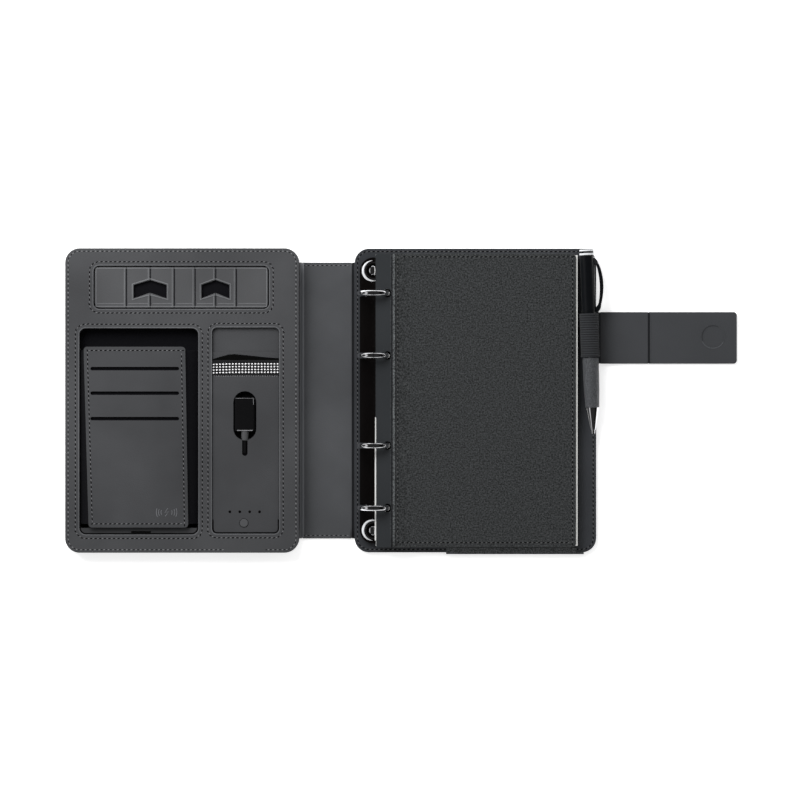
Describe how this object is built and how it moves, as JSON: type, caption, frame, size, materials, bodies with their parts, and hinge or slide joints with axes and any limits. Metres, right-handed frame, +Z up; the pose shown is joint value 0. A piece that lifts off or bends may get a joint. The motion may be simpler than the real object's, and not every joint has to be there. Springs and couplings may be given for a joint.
{
  "type": "power bank organizer",
  "caption": "Open leather organizer with a folding phone stand, charging phone pocket, built-in power bank, ring-bound notebook, pen and magnetic strap.",
  "frame": {"origin": "middle of the spine's underside, on the table", "axes": "+X across the open covers towards the closing strap, +Y up the page, +Z up from the table"},
  "size_m": [0.486, 0.2213, 0.0243],
  "materials": {
    "cover_leather": "smooth dark grey, faint grain",
    "pocket_leather": "smooth charcoal",
    "stand_leather": "creased charcoal",
    "board": "grey paperboard",
    "core": "moulded frame, fine texture",
    "lining": "black napped lining",
    "elastic": "black woven elastic with pale dots",
    "loop_elastic": "black ribbed elastic",
    "copper": "enamelled copper wire",
    "ferrite": "sintered grey",
    "magnet": "nickel plated",
    "bank_case": "satin black",
    "cells": "foil pouch",
    "circuit": "green board",
    "socket_metal": "plated steel",
    "light_pipe": "clear rods, unlit",
    "button": "satin black",
    "plug": "black moulding",
    "mech_black": "glossy black",
    "chrome": "bright plated",
    "paper": "white paper",
    "notebook_cover": "grainy charcoal",
    "pen_black": "satin black",
    "pen_grey": "speckled grey",
    "pen_chrome": "bright plated"
  },
  "bodies": {
    "right_cover": {"right_outer_skin": "cover_leather", "right_board": "board", "right_lining": "cover_leather", "bottom_edge_wrap": "cover_leather", "strap_anchor": "cover_leather", "mech_plate": "mech_black", "mech_rivets": "chrome", "pen_loop": "loop_elastic", "notebook_back_board": "board", "lower_leaves": "paper"},
    "spine": {"spine_outer_skin": "cover_leather", "spine_inner_skin": "cover_leather"},
    "left_cover": {"left_outer_skin": "cover_leather", "left_edge_band": "cover_leather", "left_back_board": "board", "cover_magnet": "magnet", "left_core_frame": "core", "left_face_leather": "cover_leather", "coil_carrier": "core", "ferrite_shield": "ferrite", "wireless_coil": "copper", "phone_floor_lining": "lining", "pocket_panel": "pocket_leather", "card_sleeves": "lining", "pocket_gussets": "lining", "pocket_base_strip": "pocket_leather", "stand_bay_lining": "lining", "stand_end_left": "stand_leather", "power_bank_base": "bank_case", "power_bank_top": "bank_case", "battery_cells": "cells", "circuit_board": "circuit", "charging_ports": "socket_metal", "led_light_pipes": "light_pipe", "bank_pocket_front": "pocket_leather", "pocket_elastic_band": "elastic", "bank_floor_leather": "pocket_leather", "charging_plug": "plug", "charging_lead": "plug"},
    "power_button": {"power_button": "button"},
    "stand_leaf_1": {"stand_leaf_1": "stand_leather"},
    "stand_leaf_2": {"stand_leaf_2": "stand_leather"},
    "stand_middle": {"stand_middle": "stand_leather"},
    "stand_leaf_3": {"stand_leaf_3": "stand_leather"},
    "stand_leaf_4": {"stand_leaf_4": "stand_leather"},
    "stand_end_right": {"stand_end_right": "stand_leather"},
    "strap_inner": {"strap_inner": "cover_leather"},
    "strap_outer": {"strap_outer": "cover_leather", "strap_magnet": "magnet"},
    "right_rail": {"right_rail": "chrome"},
    "left_rail": {"left_rail": "chrome"},
    "upper_leaves": {"upper_leaves": "paper"},
    "cover_hinge": {"cover_hinge_strip": "notebook_cover"},
    "cover_panel": {"notebook_cover_panel": "notebook_cover"},
    "pen_lower": {"pen_grip": "pen_grey", "pen_nose": "pen_chrome"},
    "pen_upper": {"pen_upper_barrel": "pen_black", "pen_clip": "pen_black", "pen_finial": "pen_chrome"},
    "pen_refill": {"pen_refill": "pen_chrome"}
  },
  "joints": [
    {"name": "spine_fold", "type": "hinge", "parent": "right_cover", "child": "spine", "pos_m": [0.018, 0, 0.0007], "axis": [0, 1, 0], "range_deg": [0, 90]},
    {"name": "left_cover_fold", "type": "hinge", "parent": "spine", "child": "left_cover", "pos_m": [-0.018, 0, 0.0007], "axis": [0, 1, 0], "range_deg": [0, 90]},
    {"name": "strap_lift", "type": "hinge", "parent": "right_cover", "child": "strap_inner", "pos_m": [0.1976, 0.04535, 0.0024], "axis": [0, -1, 0], "range_deg": [0, 90]},
    {"name": "strap_flap", "type": "hinge", "parent": "strap_inner", "child": "strap_outer", "pos_m": [0.233, 0.04535, 0.0024], "axis": [0, -1, 0], "range_deg": [0, 90]},
    {"name": "right_ring_open", "type": "hinge", "parent": "right_cover", "child": "right_rail", "pos_m": [0.0338, 0, 0.0057], "axis": [0, -1, 0], "range_deg": [-7, 0]},
    {"name": "left_ring_open", "type": "hinge", "parent": "right_cover", "child": "left_rail", "pos_m": [0.0338, 0, 0.0057], "axis": [0, -1, 0], "range_deg": [0, 7]},
    {"name": "cover_turn", "type": "hinge", "parent": "right_cover", "child": "cover_hinge", "pos_m": [0.0338, 0, 0.0124], "axis": [0, 1, 0], "range_deg": [-120, 0]},
    {"name": "cover_crease", "type": "hinge", "parent": "cover_hinge", "child": "cover_panel", "pos_m": [0.048, 0, 0.0159], "axis": [0, 1, 0], "range_deg": [-50, 0]},
    {"name": "leaves_turn", "type": "hinge", "parent": "right_cover", "child": "upper_leaves", "pos_m": [0.0338, 0, 0.0124], "axis": [0, 1, 0], "range_deg": [-112, 0]},
    {"name": "pen_slide", "type": "slide", "parent": "right_cover", "child": "pen_lower", "axis": [0.0375, -0.9993, 0], "range_m": [-0.09, 0]},
    {"name": "pen_twist", "type": "hinge", "parent": "pen_lower", "child": "pen_upper", "pos_m": [0.1926, -0.0239, 0.01095], "axis": [-0.0375, 0.9993, 0], "range_deg": [-120, 0]},
    {"name": "refill_advance", "type": "slide", "parent": "pen_lower", "child": "pen_refill", "axis": [0.0375, -0.9993, 0], "range_m": [0, 0.003]},
    {"name": "power_button_press", "type": "slide", "parent": "left_cover", "child": "power_button", "axis": [0, 0, -1], "range_m": [0, 0.0006], "stiffness_N_per_m": 600},
    {"name": "stand_fold", "type": "hinge", "parent": "left_cover", "child": "stand_leaf_1", "pos_m": [-0.1449, 0.0817, 0.0118], "axis": [0, 1, 0], "range_deg": [-55, 0]},
    {"name": "stand_ridge_1", "type": "hinge", "parent": "stand_leaf_1", "child": "stand_leaf_2", "pos_m": [-0.1276, 0.0817, 0.0096], "axis": [0, 1, 0], "range_deg": [0, 110]},
    {"name": "stand_valley_1", "type": "hinge", "parent": "stand_leaf_2", "child": "stand_middle", "pos_m": [-0.1103, 0.0817, 0.0118], "axis": [0, 1, 0], "range_deg": [-55, 0]},
    {"name": "stand_valley_2", "type": "hinge", "parent": "stand_middle", "child": "stand_leaf_3", "pos_m": [-0.0953, 0.0817, 0.0118], "axis": [0, 1, 0], "range_deg": [-55, 0]},
    {"name": "stand_ridge_2", "type": "hinge", "parent": "stand_leaf_3", "child": "stand_leaf_4", "pos_m": [-0.0804, 0.0817, 0.0096], "axis": [0, 1, 0], "range_deg": [0, 110]},
    {"name": "stand_valley_3", "type": "hinge", "parent": "stand_leaf_4", "child": "stand_end_right", "pos_m": [-0.0655, 0.0817, 0.0118], "axis": [0, 1, 0], "range_deg": [-55, 0]}
  ],
  "couplings": [
    {"joint": "left_ring_open", "follows": "right_ring_open", "ratio": -1},
    {"joint": "leaves_turn", "follows": "cover_turn", "ratio": 0.93},
    {"joint": "refill_advance", "follows": "pen_twist", "m_per_rad": -0.0014324},
    {"joint": "stand_ridge_1", "follows": "stand_fold", "ratio": -2},
    {"joint": "stand_valley_1", "follows": "stand_fold", "ratio": 1},
    {"joint": "stand_valley_2", "follows": "stand_fold", "ratio": 1},
    {"joint": "stand_ridge_2", "follows": "stand_fold", "ratio": -2},
    {"joint": "stand_valley_3", "follows": "stand_fold", "ratio": 1}
  ]
}
